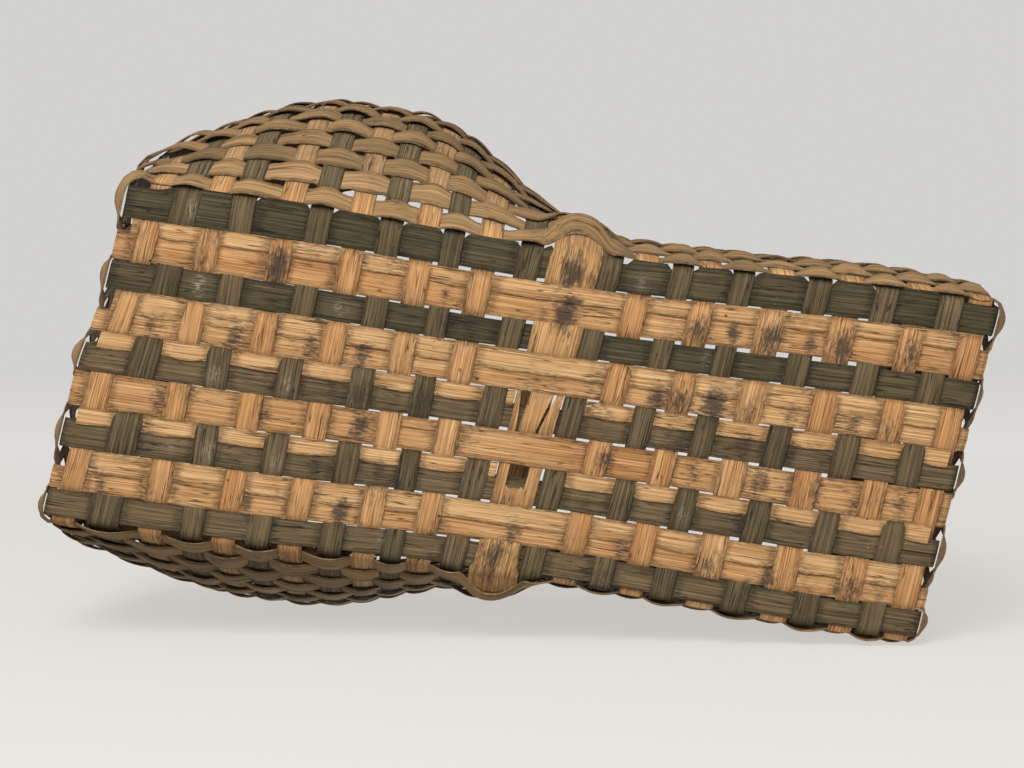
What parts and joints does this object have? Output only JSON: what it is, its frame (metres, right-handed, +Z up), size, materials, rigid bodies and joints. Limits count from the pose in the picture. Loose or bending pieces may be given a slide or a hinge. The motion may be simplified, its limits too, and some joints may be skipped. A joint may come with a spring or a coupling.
{
  "type": "splint basket",
  "caption": "Oblong plaited wood-splint basket with a chequered base, a bellied half, a lashed rim and a fixed hoop handle.",
  "frame": {"origin": "middle of the base's underside, on the outer flat of the handle hoop that the basket stands on", "axes": "+X along the length, away from the bellied half; +Z up, out of the mouth; +Y across, so that the picture looks up at the base with -Y at its top"},
  "size_m": [0.4588, 0.2664, 0.2607],
  "materials": {
    "natural_splint": "dry tan splint with grey-black stains",
    "dyed_splint": "dry splint dyed a worn grey-green black",
    "weathered_splint": "weathered grey-brown splint",
    "bent_wood": "bentwood, dry and stained"
  },
  "bodies": {
    "root": {"base_splint_1": "dyed_splint", "base_splint_2": "natural_splint", "base_splint_3": "dyed_splint", "base_splint_4": "natural_splint", "base_splint_5": "dyed_splint", "base_splint_6": "natural_splint", "base_splint_7": "dyed_splint", "base_splint_8": "natural_splint", "base_splint_9": "dyed_splint", "filler_splint_2": "natural_splint", "filler_splint_4": "natural_splint", "filler_splint_5": "natural_splint", "filler_splint_7": "natural_splint", "filler_splint_8": "natural_splint", "stake_01": "natural_splint", "stake_02": "dyed_splint", "stake_03": "natural_splint", "stake_04": "dyed_splint", "stake_05": "natural_splint", "stake_06": "dyed_splint", "stake_07": "natural_splint", "stake_08": "dyed_splint", "stake_09": "natural_splint", "stake_10": "dyed_splint", "stake_11": "natural_splint", "stake_12": "dyed_splint", "stake_14": "dyed_splint", "stake_15": "natural_splint", "stake_16": "dyed_splint", "stake_17": "natural_splint", "stake_18": "dyed_splint", "stake_19": "natural_splint", "stake_20": "dyed_splint", "stake_21": "natural_splint", "stake_22": "dyed_splint", "stake_23": "natural_splint", "stake_24": "dyed_splint", "stake_25": "natural_splint", "handle_hoop": "bent_wood", "weaver_01": "weathered_splint", "weaver_02": "weathered_splint", "weaver_03": "weathered_splint", "weaver_04": "weathered_splint", "weaver_05": "weathered_splint", "weaver_06": "weathered_splint", "weaver_07": "weathered_splint", "weaver_08": "weathered_splint", "weaver_09": "weathered_splint", "weaver_10": "weathered_splint", "weaver_11": "weathered_splint", "weaver_12": "weathered_splint", "weaver_13": "weathered_splint", "weaver_14": "weathered_splint", "rim_inner_hoop": "bent_wood", "rim_outer_hoop": "bent_wood", "rim_lashing": "weathered_splint"}
  },
  "joints": []
}
